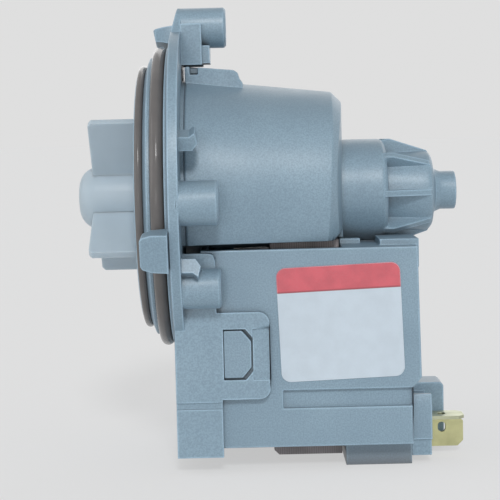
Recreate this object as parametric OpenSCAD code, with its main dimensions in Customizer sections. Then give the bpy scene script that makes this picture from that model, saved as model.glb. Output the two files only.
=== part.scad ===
// Drain pump of a washing machine, with a permanent magnet rotor and a two coil stator.
// The origin is on the rotor axis, in the plane of the flange's front face.
// +X points along the axis to the terminals, +Z points up, away from the coils.

/* [Flange] */
// Distance of the fixing screw from the rotor axis
screw_offset = 38.5; // [38:0.1:39.5]
// Clearance hole for the fixing screw
screw_hole_d = 4.6; // [4:0.1:5.2]
// Outside of the screw boss
boss_d = 9.2; // [8.6:0.1:10]
// How far the screw boss reaches behind the flange's front face
boss_reach = 12.7; // [11:0.1:14]
// Outside of the posts at the sides
side_post_d = 9.5; // [8.8:0.1:9.8]
// Outside of the posts below them
low_post_d = 8.7; // [8.2:0.1:9.2]
// How far the posts reach behind the flange's front face
post_reach = 10.8; // [9:0.1:12.5]
// Outside of the round flange
flange_d = 76; // [75:0.5:77]
// Thickness of the flange
flange_t = 2.5; // [2.2:0.1:3]

/* [Spigot and rings] */
// How far the spigot reaches in front of the flange
spigot_reach = 7.4; // [7.3:0.1:8.5]
// How far the flange reaches outside of the thick ring's seat
flange_rim = 6.45; // [6.25:0.05:6.8]
// Section of the thick sealing ring
main_ring_w = 2.9; // [2.6:0.1:3.2]
// Section of the thin front ring
front_ring_w = 1.7; // [1.4:0.1:1.9]
// Wall of the spigot between the front ring's seat and the open dish
spigot_wall = 1.5; // [1.2:0.1:2]

/* [Impeller] */
// Circle through the tips of the vanes
impeller_d = 42.4; // [40:0.2:46]
// Outside of the hub
hub_d = 14.4; // [13.8:0.1:16]
// Thickness of a vane at its tip
vane_t = 1.6; // [1.2:0.1:2.4]
// Front end of the hub, in front of the flange's front face
nose_reach = 22; // [21.4:0.1:24]
// Front edge of the vanes, in front of the flange's front face
vane_reach = 18.6; // [16:0.1:19.5]
// How far the impeller turns on its shaft each way before the dogs meet, in degrees
free_turn = 118; // [90:1:125]

/* [Rotor] */
// Outside of the magnet
magnet_d = 20.8; // [19:0.2:21]
// Length of the magnet
magnet_len = 22; // [18:0.5:23]
// Diameter of the shaft
shaft_d = 4; // [3.6:0.1:4.4]
// Outside of a bearing bush
bearing_d = 9.6; // [9:0.1:10]
// Length of a bearing bush
bearing_len = 6.5; // [5.5:0.1:7]

/* [Can and neck] */
// Wall of the rotor can
can_wall = 1.1; // [0.9:0.05:1.3]
// Rear end of the round neck
neck_end = 48.6; // [48.2:0.1:51]
// Length of the ribbed tail behind the neck
tail_len = 10.8; // [8:0.1:13]
// Outside of the tail at its rear end
tail_d = 18.6; // [16:0.2:20]
// Number of ribs round the tail
tail_ribs = 8; // [6:1:10]
// Outside of the stub
stub_d = 8.8; // [7:0.1:9.5]
// Length of the stub behind the tail
stub_len = 5.4; // [3:0.1:8]

/* [Stator] */
// Thickness of the lamination stack along the axis
stack_len = 15.2; // [14:0.2:15.6]
// Middle of the lamination stack along the axis
stack_mid = 29.1; // [28.7:0.1:29.3]
// Width of one arm of the laminations
arm_w = 10; // [9:0.1:11]
// Gap between the two arms
arm_gap = 14; // [13:0.2:15]
// Overall width of the coil housing
housing_w = 48; // [46.5:0.5:49]
// Wall of the coil housing and the hood
wall = 1.6; // [1.3:0.1:1.9]
// Lowest face of the coil housing
housing_floor = -54.4; // [-56:0.1:-53]
// Highest face of the coil housing
housing_top = -10.9; // [-11.5:0.1:-10.5]
// Rear face of the coil housing
housing_rear = 53.4; // [52.8:0.1:55]
// Front face of the coil housing
housing_front = 6.3; // [5.5:0.1:7]

/* [Hood] */
// Outside of the hood at its front edge
hood_d = 53.8; // [53.2:0.1:55]
// Rear face of the hood
hood_rear = 38.7; // [38.4:0.1:40]
// How far the hood's rear face falls back towards its sides
hood_rear_fall = 2.05; // [1:0.05:2.5]
// Draft of the hood's side, in degrees
hood_draft = 6.3; // [5:0.1:6.6]
// Lower edge of the hood's skirt
skirt_z = -9.6; // [-9.9:0.1:-8]

/* [Terminals] */
// Width of a flat terminal
tab_w = 6.3; // [5.8:0.1:6.6]
// Thickness of a flat terminal
tab_t = 0.8; // [0.6:0.05:1]
// How far a terminal stands out of its block
tab_reach = 8.2; // [6.5:0.1:9]

/* [Hidden] */

$fn = 96;

// Beyond the part on every side, for cuts that run right through
far = 100;

// Fits
running = 0.05;
fit_gap = 0.15;
free_gap = 0.3;

// Colours
casing_colour = [0.51, 0.61, 0.68];
rubber_colour = [0.13, 0.13, 0.14];
impeller_colour = [0.80, 0.84, 0.87];
steel_colour = [0.66, 0.67, 0.69];
iron_colour = [0.27, 0.27, 0.29];
copper_colour = [0.62, 0.33, 0.18];
brass_colour = [0.80, 0.72, 0.42];
bush_colour = [0.58, 0.47, 0.33];
nylon_colour = [0.90, 0.89, 0.84];
label_colour = [0.86, 0.89, 0.93];

// Flange and what stands behind it
ear_root_d = flange_d * 0.75;
post_gap = 1.65;
side_post_offset = hood_d / 2 + post_gap + side_post_d / 2;
side_post_clock = 90;
low_post_clock = 124;
lug_clock = -15.2;
lug_lens = [4.5, 5.8, 5.8];
upper_hook_clock = 69.5;
lower_hook_clock = 112;
hook_r = flange_d / 2 - 2.8;
hook_lean = 43.5;
hook_w = 3.15;
hook_t = 4.2;
apron_top = -20;
edge_round = 0.5;

// Spigot in front of the flange
main_ring_x = -2.2;
ring_seat_d = flange_d - 2 * flange_rim;
groove_half = main_ring_w / 2 + 0.1;
main_ring_r = (ring_seat_d + main_ring_w) / 2;
ridge_d = ring_seat_d + 0.7;
front_step = 3.05;
front_seat_d = ring_seat_d - 2 * front_step;
front_ring_x = -6.3;
front_ring_r = (front_seat_d + front_ring_w) / 2;
front_groove_half = front_ring_w / 2 + 0.05;
front_lip_d = front_seat_d + 0.8;
land_d = ring_seat_d + 5.6;
dish_d = front_seat_d - 2 * spigot_wall;
dish_floor = -1;

// Rotor, its can and its bearings
magnet_r = magnet_d / 2;
rotor_gap = 0.7;
can_bore_r = magnet_r + rotor_gap;
carrier_d = 27.6;
can_r = can_bore_r + can_wall;
can_root_r = can_r + 2.2;
can_mouth_r = carrier_d / 2 + 1.6;
magnet_x = stack_mid - magnet_len / 2;
seat_wall = 1.6;
seat_d = bearing_d + 2 * seat_wall;
carrier_t = 5;
carrier_rear = dish_floor + carrier_t;
front_bearing_x = carrier_rear + 0.6;
carrier_nose = front_bearing_x + bearing_len;
can_end = neck_end - 6.5;
rear_bearing_x = can_end + 0.4;
washer_t = 0.8;
washer_d = 8;
front_washer_x = carrier_nose + running;
sleeve_x = front_washer_x + washer_t + running;
rear_washer_x = can_end - washer_t - 0.2;
sleeve_end = rear_washer_x - running;
sleeve_d = 10;
shaft_rear = rear_bearing_x + bearing_len - 0.6;
shaft_front = -nose_reach + 4.6;

// Tail and stub
tail_end = neck_end + tail_len;
tail_core_r = tail_d / 2 - 0.1;
tail_rib_t = 1.4;
tail_round = 1.6;
neck_round = 1.6;
stub_end = tail_end + stub_len;
stub_fillet = 2;

// Impeller hub and coupling
vane_clock = [34, 124, 214, 304];
vane_draft = 0.15;
vane_root = 0.5;
vane_slope = 0.1;
hub_r = hub_d / 2;
dome_r = 4.4;
nose_r = 2.6;
hub_wall = 1.5;
hub_bore_r = hub_r - hub_wall;
hub_rear = dish_floor - 0.6;
vane_rear = dish_floor - 1.2;
cover_t = 2.2;
chamber_front = hub_rear - cover_t - 9;
dog_angle = 50;
pad_angle = 12;
turn_margin = 5;
stop_angle = 2 * (180 - free_turn - dog_angle / 2 - pad_angle - turn_margin);
driver_x = chamber_front + 0.6;
driver_len = 7.6;
driver_r = shaft_d / 2 + 1.5;
dog_r = hub_bore_r - free_gap;
stop_r = driver_r + free_gap;

// Stator
stack_x = stack_mid - stack_len / 2;
stack_end = stack_mid + stack_len / 2;
arm_in = arm_gap / 2;
arm_out = arm_in + arm_w;
pole_bore_r = can_r + 0.6;
pole_gap = 5;
yoke_top = housing_floor + 8;
yoke_floor = housing_floor - 3.3;
yoke_chamfer = 1.1;
half_w = housing_w / 2;
inner_w = housing_w - 2 * wall;
bobbin_wall = 1;
bobbin_flange_t = 1.2;
bobbin_top = min(housing_top - wall, -can_r - 0.3) - free_gap;
bobbin_floor = yoke_top + free_gap;
bobbin_x = stack_x - 8.2;
bobbin_end = stack_end + 8.2;
bobbin_y = 0.4;
bobbin_out = half_w - wall - free_gap;
winding_inset = 0.9;
cutout_size = [3.6, 8, 14];

// Hood
seat_reach = 0.8;
hood_front = flange_t + seat_reach + 0.1;
hood_r = hood_d / 2;
pad_w = 15;
pad_rear = 15.6;
pad_front_z = hood_r + 2.6;
pad_fall = 1.1;
pad_round = 1.3;
rim_round = 2.3;
side_bevel_y = 20.6;
bevel_reach = hood_rear - hood_rear_fall + side_bevel_y;
rim_lift = hood_rear_fall * 0.66;
hood_bow_r = (side_bevel_y * side_bevel_y / hood_rear_fall + hood_rear_fall) / 2;
skirt_corner = 1.3;
hood_foot_w = 20.4;
neck_slot_w = 12;
ledge_x = [45.5, housing_rear + 0.7];
ledge_w = 40;
ledge_top = housing_top + 1.4;
collar_len = 3.2;

// Legs and latches
leg_t = 1.7;
leg_gap = 0.1;
leg_w = 10.4;
leg_reach = housing_w / 2 + leg_gap + leg_t;
leg_top = -11.3;
leg_floor = -56;
leg_top_w = 9.5;
leg_notch_z = [-43.9, -45.3];
loop_rear = 20.9;
loop_top = -24.2;
loop_floor = -43.3;
loop_bar = 3.7;
loop_round = 2.4;
window_chamfer = 1.6;
catch_gap = 0.35;
catch_t = 1.3;
apron_t = 2;

// Connector and terminals: the block's catch is given by its front and back behind the near side
lower_rear = housing_rear - 1.4;
step_z = -42;
step_slope = 1.2;
step_cut = 4;
housing_draft = 0.6;
block_rear = housing_rear + 3.2;
block_top = -46.3;
block_bevel = 0.7;
block_y = [-20, -4.7];
block_floor = -58;
block_step = 3.7;
block_inset = 0.5;
block_catch = [0.9, 1.8];
guard_rear = block_rear + 4.6;
guard_top = -44.3;
guard_y = [-4.7, 3.2];
guard_round = 1.2;
tab_y = -10;
tab_flat_z = -51;
tab_end = block_rear + tab_reach;
tab_root = lower_rear + 0.4;
tab_hole_x = block_rear + 3.3;
tab_hole_d = 1.7;
tab_hole_slot = 0.6;
upright_hole_z = 1.3;

// Foot, label and recess
foot_x = [37.4, lower_rear];
foot_floor = -59.7;
foot_w = 40;
label_size = [26.9, 25];
label_mid = [36.4, -27.1];
label_turn = 2;
label_t = 0.2;
label_round = 2;
recess_x = [23.6, 51.8];
recess_z = [-45.8, -41.9];
recess_depth = 1;

// Turns a profile of [radius, x] points about the rotor axis
module turned(points) {
    rotate([0, 90, 0])
        rotate_extrude()
            polygon(points);
}

// A round rod along the rotor axis
module rod(x1, x2, d) {
    translate([x1, 0, 0])
        rotate([0, 90, 0])
            cylinder(h = x2 - x1, d = d);
}

// A round tube along the rotor axis
module tube(x1, x2, d_out, d_in) {
    difference() {
        rod(x1, x2, d_out);
        rod(x1 - 1, x2 + 1, d_in);
    }
}

// A box from its lowest to its highest corner
module block(low, high) {
    translate(low)
        cube(high - low);
}

// Places its children at a clock angle, counted from the top towards the near side
module clock(angle, radius = 0) {
    rotate([angle, 0, 0])
        translate([0, 0, radius])
            children();
}

// Extrudes an outline drawn in Y and Z along X
module plate_yz(x, t) {
    translate([x, 0, 0])
        rotate([90, 0, 90])
            linear_extrude(height = t)
                children();
}

// Extrudes an outline drawn in X and Z, from y towards the far side
module plate_xz(y, t) {
    translate([0, y + t, 0])
        rotate([90, 0, 0])
            linear_extrude(height = t)
                children();
}

// Repeats its children on the near side and, mirrored, on the far side
module both_sides() {
    children();
    mirror([0, 1, 0])
        children();
}

// Rectangle with round corners, from its lowest to its highest corner
module round_rect(low, high, r) {
    translate([low[0] + r, low[1]])
        square([high[0] - low[0] - 2 * r, high[1] - low[1]]);
    translate([low[0], low[1] + r])
        square([high[0] - low[0], high[1] - low[1] - 2 * r]);
    for (x = [low[0] + r, high[0] - r])
        for (y = [low[1] + r, high[1] - r])
            translate([x, y])
                circle(r = r, $fn = 32);
}

// Sector of a disc, centred on the top, for angles up to 160 degrees
module sector(r, angle) {
    reach = r / cos(angle / 4) + 1;
    intersection() {
        circle(r = r);
        polygon([
            [0, 0],
            [reach * sin(-angle / 2), reach * cos(angle / 2)],
            [reach * sin(-angle / 4), reach * cos(angle / 4)],
            [reach * sin(angle / 4), reach * cos(angle / 4)],
            [reach * sin(angle / 2), reach * cos(angle / 2)]
        ]);
    }
}

// Flange casing

module flange_outline() {
    spread = acos((ear_root_d - boss_d) / 2 / screw_offset);
    root = ear_root_d / 2 * [sin(spread), cos(spread)];
    tip_r = boss_d / 2 - 0.05;
    tip = [tip_r * sin(spread), screw_offset + tip_r * cos(spread)];
    circle(d = flange_d);
    translate([0, screw_offset])
        circle(d = boss_d);
    polygon([[-root[0], root[1]], root, tip, [-tip[0], tip[1]]]);
}

module flange_plate() {
    bevel_from = flange_d / 2 - 1.2;
    bevel_to = screw_offset + boss_d;
    difference() {
        plate_yz(0, flange_t)
            flange_outline();
        turned([
            [bevel_from, -1],
            [bevel_to, -1],
            [bevel_to, (bevel_to - bevel_from) * 0.27],
            [bevel_from, 0]
        ]);
    }
}

module spigot() {
    turned([
        [0, dish_floor],
        [dish_d / 2 - 1, dish_floor],
        [dish_d / 2, dish_floor - 1],
        [dish_d / 2, -spigot_reach],
        [front_lip_d / 2 - 0.3, -spigot_reach],
        [front_lip_d / 2, -spigot_reach + 0.3],
        [front_lip_d / 2, front_ring_x - front_groove_half],
        [front_seat_d / 2, front_ring_x - front_groove_half],
        [front_seat_d / 2, front_ring_x + front_groove_half],
        [front_seat_d / 2 + 1.3, front_ring_x + front_groove_half],
        [ridge_d / 2, main_ring_x - groove_half - 0.8],
        [ridge_d / 2, main_ring_x - groove_half],
        [ring_seat_d / 2, main_ring_x - groove_half],
        [ring_seat_d / 2, main_ring_x + groove_half],
        [land_d / 2, main_ring_x + groove_half],
        [land_d / 2, 0.5],
        [0, 0.5]
    ]);
}

// Round post behind the flange with a small bevel at its end
module post(reach, d) {
    rod(flange_t - 0.5, reach - edge_round, d);
    translate([reach - edge_round, 0, 0])
        rotate([0, 90, 0])
            cylinder(h = edge_round, d1 = d, d2 = d - 2 * edge_round);
}

// Post beside the coil housing, cut clear of the housing's corner
module low_post() {
    difference() {
        clock(low_post_clock, side_post_offset)
            post(post_reach, low_post_d);
        block([housing_front - free_gap, -half_w - leg_gap, housing_floor], [post_reach + 1, 0, 0]);
    }
}

// Bayonet lug in front of the flange, slanted inwards and with bevelled corners
module bayonet_lug(len) {
    half_lug = 4.2;
    lug_in = flange_d / 2 - 2.6;
    lug_out = flange_d / 2 + 2.1;
    intersection() {
        plate_xz(-half_lug, 2 * half_lug)
            polygon([
                [0.1, lug_in],
                [-len + 0.6, lug_in + 1],
                [-len, lug_out - 0.8],
                [-len + 0.3, lug_out - 0.6],
                [0.1, lug_out]
            ]);
        translate([0, 0, lug_in - 1])
            linear_extrude(height = lug_out - lug_in + 2)
                polygon([
                    [0.1, -half_lug],
                    [-len + 2.4, -half_lug + 0.1],
                    [-len + 0.5, -half_lug + 0.7],
                    [-len, -half_lug + 1.4],
                    [-len, half_lug - 1.4],
                    [-len + 0.5, half_lug - 0.7],
                    [-len + 2.4, half_lug - 0.1],
                    [0.1, half_lug]
                ]);
    }
}

// Snap hook behind the flange, its barb towards the top and its face leaning to the side post
module snap_hook() {
    hook_reach = 4.15;
    half = hook_w / 2;
    translate([flange_t, 0, hook_r])
        rotate([hook_lean, 0, 0])
            translate([0, 0, -hook_t])
                linear_extrude(height = hook_t)
                    polygon([
                        [-0.1, -half],
                        [hook_reach - 1.15, -half],
                        [hook_reach, 0.1],
                        [hook_reach - 0.6, half + 0.9],
                        [hook_reach - 1.8, half],
                        [-0.1, half]
                    ]);
}

// Two cheeks beside the screw boss and a rib below it that hold the hood's pad down
module top_keeper() {
    cheek_in = boss_d / 2;
    cheek_t = 1.9;
    cheek_z = pad_front_z + 0.4;
    both_sides()
        block([flange_t - 0.1, -cheek_in - cheek_t, cheek_z], [7.2, -cheek_in + 0.2, screw_offset + 0.7]);
    block([flange_t - 0.1, -cheek_in - 0.1, cheek_z + 0.4],
          [8.95, cheek_in + 0.1, screw_offset - boss_d / 2 + 0.4]);
}

// Can wall, neck and stub as one turned shape
module can_outside() {
    turned([
        [0, dish_floor],
        [can_mouth_r, dish_floor],
        [can_mouth_r, carrier_rear + 1],
        [can_root_r, carrier_rear + 3],
        [can_r + 0.3, carrier_rear + 7],
        [can_r, stack_x - 1],
        [can_r, neck_end - neck_round],
        [can_r - neck_round * 0.13, neck_end - neck_round * 0.5],
        [can_r - neck_round * 0.5, neck_end - neck_round * 0.13],
        [can_r - neck_round, neck_end],
        [tail_core_r - 0.4, neck_end],
        [tail_core_r, tail_end - tail_round],
        [tail_core_r - tail_round * 0.25, tail_end - tail_round * 0.45],
        [tail_core_r - tail_round * 0.7, tail_end - tail_round * 0.12],
        [stub_d / 2 + stub_fillet, tail_end],
        [stub_d / 2 + 0.6, tail_end + stub_fillet * 0.3],
        [stub_d / 2, tail_end + stub_fillet],
        [stub_d / 2, stub_end - 0.15],
        [stub_d / 2 - 0.15, stub_end],
        [0, stub_end]
    ]);
}

// Room for the can, the neck and the tail in the pieces round them
module can_room(gap) {
    turned([
        [0, dish_floor],
        [can_mouth_r + gap, dish_floor],
        [can_mouth_r + gap, carrier_rear + 1 + gap],
        [can_root_r + gap, carrier_rear + 3 + gap],
        [can_r + 0.3 + gap, carrier_rear + 7 + gap],
        [can_r + gap, stack_x],
        [can_r + gap, neck_end + 1.3],
        [tail_d / 2 + 0.1 + gap, tail_end - 1.1],
        [tail_d / 2 + 0.1 + gap, tail_end + 1],
        [0, tail_end + 1]
    ]);
}

// One rib of the tail, standing out of the core at the top
module tail_rib() {
    plate_xz(-tail_rib_t / 2, tail_rib_t)
        polygon([
            [neck_end - 1, 4],
            [neck_end - 1, can_r - 0.05],
            [neck_end + 1.3, can_r - 0.05],
            [tail_end - 1.1, tail_d / 2 + 0.05],
            [tail_end - 0.8, tail_d / 2 - 0.3],
            [tail_end - 0.6, 4]
        ]);
}

module can_bore() {
    rod(dish_floor - 1, carrier_rear, carrier_d);
    rod(carrier_rear - 1, can_end, 2 * can_bore_r);
    rod(can_end - 1, can_end + bearing_len + 0.8, seat_d);
}

// Raised ring behind the flange that the hood sits on, with a collar inside it that centres the hood
module collar() {
    collar_r = hood_r - wall - fit_gap - tan(hood_draft) * collar_len;
    difference() {
        union() {
            tube(flange_t - 0.5, flange_t + collar_len, 2 * collar_r, 2 * (collar_r - wall));
            tube(flange_t - 0.5, flange_t + seat_reach, hood_d - 1, 2 * (collar_r - wall));
        }
        block([flange_t, -far, -far], [flange_t + collar_len + 1, far, skirt_z]);
    }
}

module leg_outline() {
    translate([0.3, leg_floor])
        square([leg_w - 0.3, loop_floor - leg_floor + 0.1]);
    difference() {
        union() {
            translate([0.3, loop_floor])
                square([leg_top_w - 0.3, leg_top - 1.5 - loop_floor]);
            translate([0.3, leg_top - 2])
                square([leg_top_w - 1.8, 2]);
            translate([leg_top_w - 1.5, leg_top - 1.5])
                circle(r = 1.5, $fn = 32);
            round_rect([2, loop_floor], [loop_rear, loop_top], loop_round);
        }
        latch_window(0);
    }
}

// Window of a latch loop, made smaller all round by inset
module latch_window(inset) {
    x1 = leg_w + 0.4 + inset * 0.3;
    x2 = loop_rear - loop_bar - inset;
    z1 = loop_floor + loop_bar + 0.6 + inset;
    z2 = loop_top - loop_bar - inset;
    c = window_chamfer + inset;
    polygon([[x1, z1], [x2 - c, z1], [x2, z1 + c * 1.2], [x2, z2 - c * 1.2], [x2 - c, z2], [x1, z2]]);
}

module leg() {
    y = -leg_reach;
    difference() {
        plate_xz(y, leg_t)
            leg_outline();
        block([loop_rear - loop_bar, y - 1, loop_floor + loop_bar + 0.6],
              [loop_rear - 0.01, y + 0.35, loop_top - loop_bar]);
    }
}

// Front wall that ties the two legs together below the flange
module apron() {
    block([0.3, -leg_reach, leg_floor], [0.3 + apron_t, leg_reach, apron_top]);
}

// The two legs and the apron, with a notch line across each leg
module legs() {
    difference() {
        union() {
            both_sides()
                leg();
            apron();
        }
        both_sides()
            block([-1, -leg_reach - 1, leg_notch_z[1]], [leg_w + 1, -leg_reach + 0.4, leg_notch_z[0]]);
    }
}

module flange_casing() {
    color(casing_colour)
        difference() {
            union() {
                flange_plate();
                spigot();
                can_outside();
                collar();
                for (i = [0 : tail_ribs - 1])
                    clock(360 / tail_ribs * i)
                        tail_rib();
                clock(0, screw_offset)
                    post(boss_reach, boss_d);
                for (i = [0 : 2])
                    clock(lug_clock + 120 * i)
                        bayonet_lug(lug_lens[i]);
                both_sides() {
                    clock(side_post_clock, side_post_offset)
                        post(post_reach, side_post_d);
                    low_post();
                    clock(upper_hook_clock)
                        snap_hook();
                    clock(lower_hook_clock)
                        mirror([0, 1, 0])
                            snap_hook();
                }
                top_keeper();
                legs();
            }
            can_bore();
            clock(0, screw_offset)
                rod(-10, boss_reach + 1, screw_hole_d);
        }
}

// Sealing rings

module main_ring() {
    color(rubber_colour)
        translate([main_ring_x, 0, 0])
            rotate([0, 90, 0])
                rotate_extrude()
                    translate([main_ring_r, 0])
                        circle(d = main_ring_w, $fn = 32);
}

module front_ring() {
    color(rubber_colour)
        translate([front_ring_x, 0, 0])
            rotate([0, 90, 0])
                rotate_extrude()
                    translate([front_ring_r, 0])
                        circle(d = front_ring_w, $fn = 32);
}

// Impeller and its coupling

module hub_outside() {
    rotate([0, 90, 0])
        rotate_extrude()
            difference() {
                union() {
                    translate([0, -nose_reach + dome_r])
                        square([hub_r, hub_rear + nose_reach - dome_r]);
                    intersection() {
                        translate([0, -nose_reach])
                            square([hub_r, dome_r + 0.1]);
                        union() {
                            translate([hub_r - dome_r, -nose_reach + dome_r])
                                circle(r = dome_r, $fn = 64);
                            translate([0, -nose_reach])
                                square([hub_r - dome_r, dome_r + 1]);
                            translate([0, -nose_reach])
                                square([nose_r, 1]);
                        }
                    }
                }
                translate([-far, -far])
                    square([far, 2 * far]);
            }
}

// One vane at the top, thinner towards its tip and with fillets at its root
module vane() {
    root = vane_t / 2 + vane_draft;
    foot = root + vane_root;
    tip = vane_t / 2;
    tip_r = impeller_d / 2;
    intersection() {
        plate_xz(-foot - 1, 2 * foot + 2)
            polygon([
                [vane_rear, hub_bore_r + 0.3],
                [-vane_reach + vane_slope, hub_bore_r + 0.3],
                [-vane_reach, tip_r - 0.8],
                [-vane_reach + 0.6, tip_r],
                [vane_rear, tip_r]
            ]);
        plate_yz(-vane_reach - 1, vane_reach + 1)
            polygon([
                [-foot, hub_bore_r],
                [-foot, hub_r - vane_root * 0.6],
                [-root - vane_root * 0.3, hub_r],
                [-root, hub_r + vane_root],
                [-tip, tip_r + 1],
                [tip, tip_r + 1],
                [root, hub_r + vane_root],
                [root + vane_root * 0.3, hub_r],
                [foot, hub_r - vane_root * 0.6],
                [foot, hub_bore_r]
            ]);
    }
}

module impeller() {
    color(impeller_colour)
        difference() {
            union() {
                hub_outside();
                for (a = vane_clock)
                    clock(a)
                        vane();
            }
            rod(chamber_front, hub_rear + 1, 2 * hub_bore_r);
            rod(shaft_front - 0.6, chamber_front + 1, shaft_d + 2 * running);
        }
    color(impeller_colour)
        impeller_stop();
}

// Stop inside the hub that the driver's dog pushes against
module impeller_stop() {
    plate_yz(chamber_front - 0.1, driver_len + 0.7)
        difference() {
            sector(hub_bore_r + 0.2, stop_angle);
            circle(r = stop_r);
        }
}

module coupling_cover() {
    color(impeller_colour)
        tube(hub_rear - cover_t, hub_rear, 2 * hub_bore_r, shaft_d + 2 * running);
}

module coupling_driver() {
    color(nylon_colour)
        difference() {
            union() {
                rod(driver_x, driver_x + driver_len, 2 * driver_r);
                rotate([180, 0, 0])
                    plate_yz(driver_x, driver_len)
                        sector(dog_r, dog_angle);
            }
            rod(driver_x - 1, driver_x + driver_len + 1, shaft_d);
        }
}

module coupling_damper() {
    turn = (stop_angle + pad_angle) / 2 + 0.3;
    color(rubber_colour)
        for (a = [-turn, turn])
            clock(a)
                plate_yz(chamber_front + running, driver_len + 0.5)
                    difference() {
                        sector(hub_bore_r - running, pad_angle);
                        circle(r = stop_r);
                    }
}

// Rotor

module rotor_shaft() {
    chamfer = 0.4;
    color(steel_colour)
        turned([
            [0, shaft_front],
            [shaft_d / 2 - chamfer, shaft_front],
            [shaft_d / 2, shaft_front + chamfer],
            [shaft_d / 2, shaft_rear - chamfer],
            [shaft_d / 2 - chamfer, shaft_rear],
            [0, shaft_rear]
        ]);
}

module rotor_sleeve() {
    color(nylon_colour)
        difference() {
            union() {
                rod(sleeve_x, sleeve_end, sleeve_d);
                rod(magnet_x - 1.5, magnet_x, magnet_d - 1.6);
            }
            rod(sleeve_x - 1, sleeve_end + 1, shaft_d);
        }
}

module rotor_magnet() {
    chamfer = 0.6;
    color(iron_colour)
        turned([
            [sleeve_d / 2, magnet_x],
            [magnet_r - chamfer, magnet_x],
            [magnet_r, magnet_x + chamfer],
            [magnet_r, magnet_x + magnet_len - chamfer],
            [magnet_r - chamfer, magnet_x + magnet_len],
            [sleeve_d / 2, magnet_x + magnet_len]
        ]);
}

// Bearings, seal and washers

module bearing(x) {
    tube(x, x + bearing_len, bearing_d, shaft_d + 2 * running);
}

module front_bearing() {
    color(bush_colour)
        bearing(front_bearing_x);
}

module rear_bearing() {
    color(bush_colour)
        bearing(rear_bearing_x);
}

module front_bearing_seat() {
    color(rubber_colour)
        tube(front_bearing_x, front_bearing_x + bearing_len, seat_d, bearing_d);
}

module rear_bearing_seat() {
    color(rubber_colour)
        tube(rear_bearing_x, rear_bearing_x + bearing_len, seat_d, bearing_d);
}

module seal_carrier() {
    pocket_floor = carrier_rear - 1;
    color(casing_colour)
        difference() {
            union() {
                rod(dish_floor, carrier_rear, carrier_d);
                rod(carrier_rear - 0.1, carrier_nose, seat_d + 2.4);
            }
            rod(dish_floor - 1, pocket_floor, seat_d);
            rod(pocket_floor - 1, carrier_nose + 1, shaft_d + 2);
            rod(front_bearing_x, carrier_nose + 1, seat_d);
        }
}

module shaft_seal() {
    pocket_floor = carrier_rear - 1;
    lip_r = shaft_d / 2 + running;
    color(rubber_colour)
        turned([
            [lip_r, dish_floor + 0.8],
            [lip_r + 0.7, dish_floor + 0.4],
            [lip_r + 1.6, dish_floor + 1.6],
            [seat_d / 2 - 1.2, dish_floor + 1.6],
            [seat_d / 2 - 0.8, dish_floor + 0.2],
            [seat_d / 2, dish_floor + 0.2],
            [seat_d / 2, pocket_floor],
            [lip_r + 1.2, pocket_floor],
            [lip_r, dish_floor + 1.4]
        ]);
}

module front_thrust_washer() {
    color(steel_colour)
        tube(front_washer_x, front_washer_x + washer_t, washer_d, shaft_d);
}

module rear_thrust_washer() {
    color(steel_colour)
        tube(rear_washer_x, rear_washer_x + washer_t, washer_d, shaft_d);
}

// Stator

module lamination_outline() {
    pole_out = arm_out + 2.6;
    head_r = hood_r - wall - tan(hood_draft) * (stack_end - hood_front) - 0.3;
    difference() {
        union() {
            intersection() {
                circle(r = head_r);
                translate([-pole_out, skirt_z])
                    square([2 * pole_out, 2 * head_r]);
            }
            translate([-arm_out, yoke_floor])
                square([2 * arm_out, skirt_z - yoke_floor]);
        }
        circle(r = pole_bore_r);
        translate([-pole_gap / 2, 0])
            square([pole_gap, 40]);
        translate([-arm_in, yoke_top])
            square([arm_gap, bobbin_top + free_gap - yoke_top]);
        translate([-pole_gap / 2, yoke_top])
            square([pole_gap, -yoke_top]);
    }
}

// The stack of sheets, with its poles cut clear of the hood and the yoke's front corner bevelled
module lamination_stack() {
    color(iron_colour)
        intersection() {
            plate_yz(stack_x, stack_len)
                lamination_outline();
            union() {
                translate([0, 0, skirt_z - 0.1])
                    linear_extrude(height = far)
                        hood_plan(wall + free_gap);
                plate_xz(-far, 2 * far)
                    polygon([
                        [stack_x + yoke_chamfer, yoke_floor],
                        [stack_end + 1, yoke_floor],
                        [stack_end + 1, skirt_z],
                        [stack_x - 1, skirt_z],
                        [stack_x - 1, yoke_floor + yoke_chamfer + 1]
                    ]);
            }
        }
}

// Outline in X and Y of one coil's tube, grown by g
module coil_core(g) {
    translate([stack_x - fit_gap - g, arm_in - fit_gap - g])
        square([stack_len + 2 * (fit_gap + g), arm_w + 2 * (fit_gap + g)]);
}

module bobbin() {
    height = bobbin_top - bobbin_floor;
    translate([0, 0, bobbin_floor])
        difference() {
            union() {
                linear_extrude(height = height)
                    coil_core(bobbin_wall);
                for (z = [0, height - bobbin_flange_t])
                    translate([0, 0, z])
                        linear_extrude(height = bobbin_flange_t)
                            round_rect([bobbin_x, bobbin_y], [bobbin_end, bobbin_out], 2);
            }
            translate([0, 0, -1])
                linear_extrude(height = height + 2)
                    coil_core(0);
        }
}

module winding() {
    height = bobbin_top - bobbin_floor - 2 * bobbin_flange_t;
    translate([0, 0, bobbin_floor + bobbin_flange_t])
        linear_extrude(height = height)
            difference() {
                round_rect([bobbin_x + winding_inset, bobbin_y + winding_inset],
                           [bobbin_end - winding_inset, bobbin_out - winding_inset], 4);
                coil_core(bobbin_wall);
            }
}

module bobbin_near() {
    color(nylon_colour)
        mirror([0, 1, 0])
            bobbin();
}

module bobbin_far() {
    color(nylon_colour)
        bobbin();
}

module winding_near() {
    color(copper_colour)
        mirror([0, 1, 0])
            winding();
}

module winding_far() {
    color(copper_colour)
        winding();
}

module thermal_cutout() {
    low = [bobbin_end - winding_inset, -(bobbin_y + bobbin_out) / 2 - cutout_size[1] / 2,
           bobbin_top - bobbin_flange_t - cutout_size[2] - 2];
    color(nylon_colour)
        block(low, low + cutout_size);
}

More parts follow.
